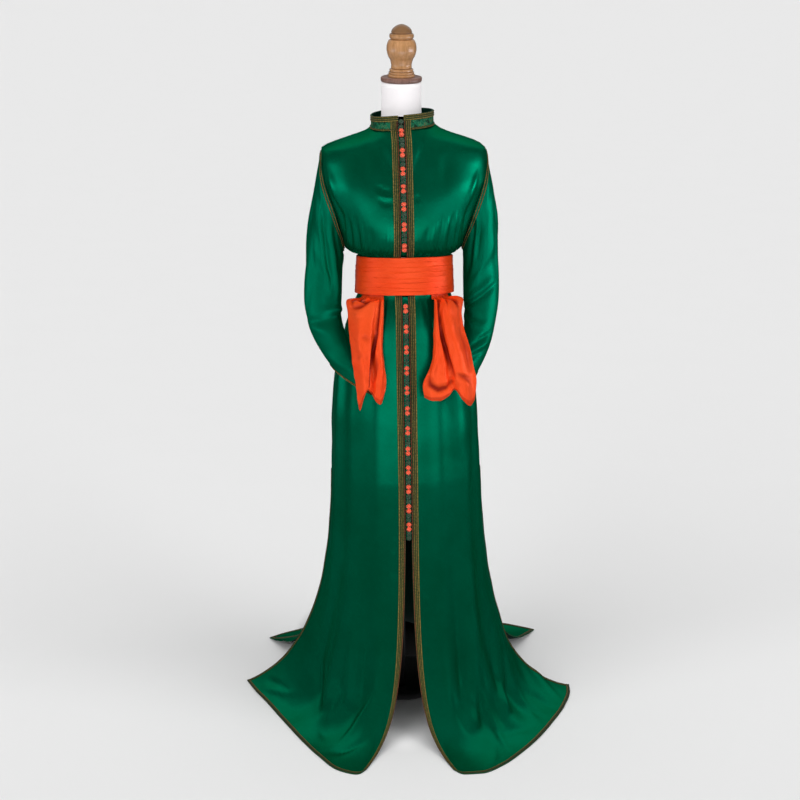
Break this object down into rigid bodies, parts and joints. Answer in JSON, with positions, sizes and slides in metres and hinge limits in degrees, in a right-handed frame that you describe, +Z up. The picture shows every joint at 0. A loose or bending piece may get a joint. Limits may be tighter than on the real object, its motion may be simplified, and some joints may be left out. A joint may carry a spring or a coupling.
{
  "type": "moroccan kaftan on a dress form",
  "caption": "Long open-front satin kaftan with braids, rows of knot buttons, long sleeves, a train and a pleated sash with two hanging ends, worn by a limbless dress form on a stand.",
  "frame": {"origin": "on the floor straight below the form's upright axis, in the underside of the stand's round base", "axes": "+Z up, -Y the way the kaftan faces, +X the wearer's left"},
  "size_m": [0.8462, 1.0455, 1.7055],
  "materials": {
    "green_satin": "smooth satin with broad soft highlights",
    "orange_satin": "satin, softer than the kaftan's",
    "olive_gold_braid": "narrow woven cords in olive, gold and orange-brown",
    "orange_cord": "knotted silky cord",
    "white_cloth": "matt stretched cloth",
    "dark_brown_wood": "dark stained, satin",
    "gold_brown_wood": "turned, satin varnish",
    "black_metal": "satin black paint"
  },
  "bodies": {
    "root": {"front_right": "green_satin", "front_left": "green_satin", "back": "green_satin", "sleeve_right": "green_satin", "sleeve_left": "green_satin", "collar": "green_satin", "knot_strip_upper": "green_satin", "knot_strip_lower": "green_satin", "sash_band": "orange_satin", "sash_tail_right": "orange_satin", "sash_tail_left": "orange_satin", "front_braid_right": "olive_gold_braid", "front_braid_left": "olive_gold_braid", "hem_braid_right": "olive_gold_braid", "hem_braid_left": "olive_gold_braid", "hem_braid_back": "olive_gold_braid", "armhole_braid_right": "olive_gold_braid", "armhole_braid_left": "olive_gold_braid", "cuff_braid_right": "olive_gold_braid", "cuff_braid_left": "olive_gold_braid", "collar_braid": "olive_gold_braid", "knot_01": "orange_cord", "knot_02": "orange_cord", "knot_03": "orange_cord", "knot_04": "orange_cord", "knot_05": "orange_cord", "knot_06": "orange_cord", "knot_07": "orange_cord", "knot_08": "orange_cord", "knot_09": "orange_cord", "knot_10": "orange_cord", "knot_11": "orange_cord", "knot_12": "orange_cord", "knot_13": "orange_cord", "knot_14": "orange_cord", "knot_15": "orange_cord", "knot_16": "orange_cord", "knot_17": "orange_cord", "knot_18": "orange_cord", "knot_19": "orange_cord", "form_torso": "white_cloth", "neck_cap": "dark_brown_wood", "finial": "gold_brown_wood", "stand_pole": "black_metal", "stand_base": "black_metal"}
  },
  "joints": []
}
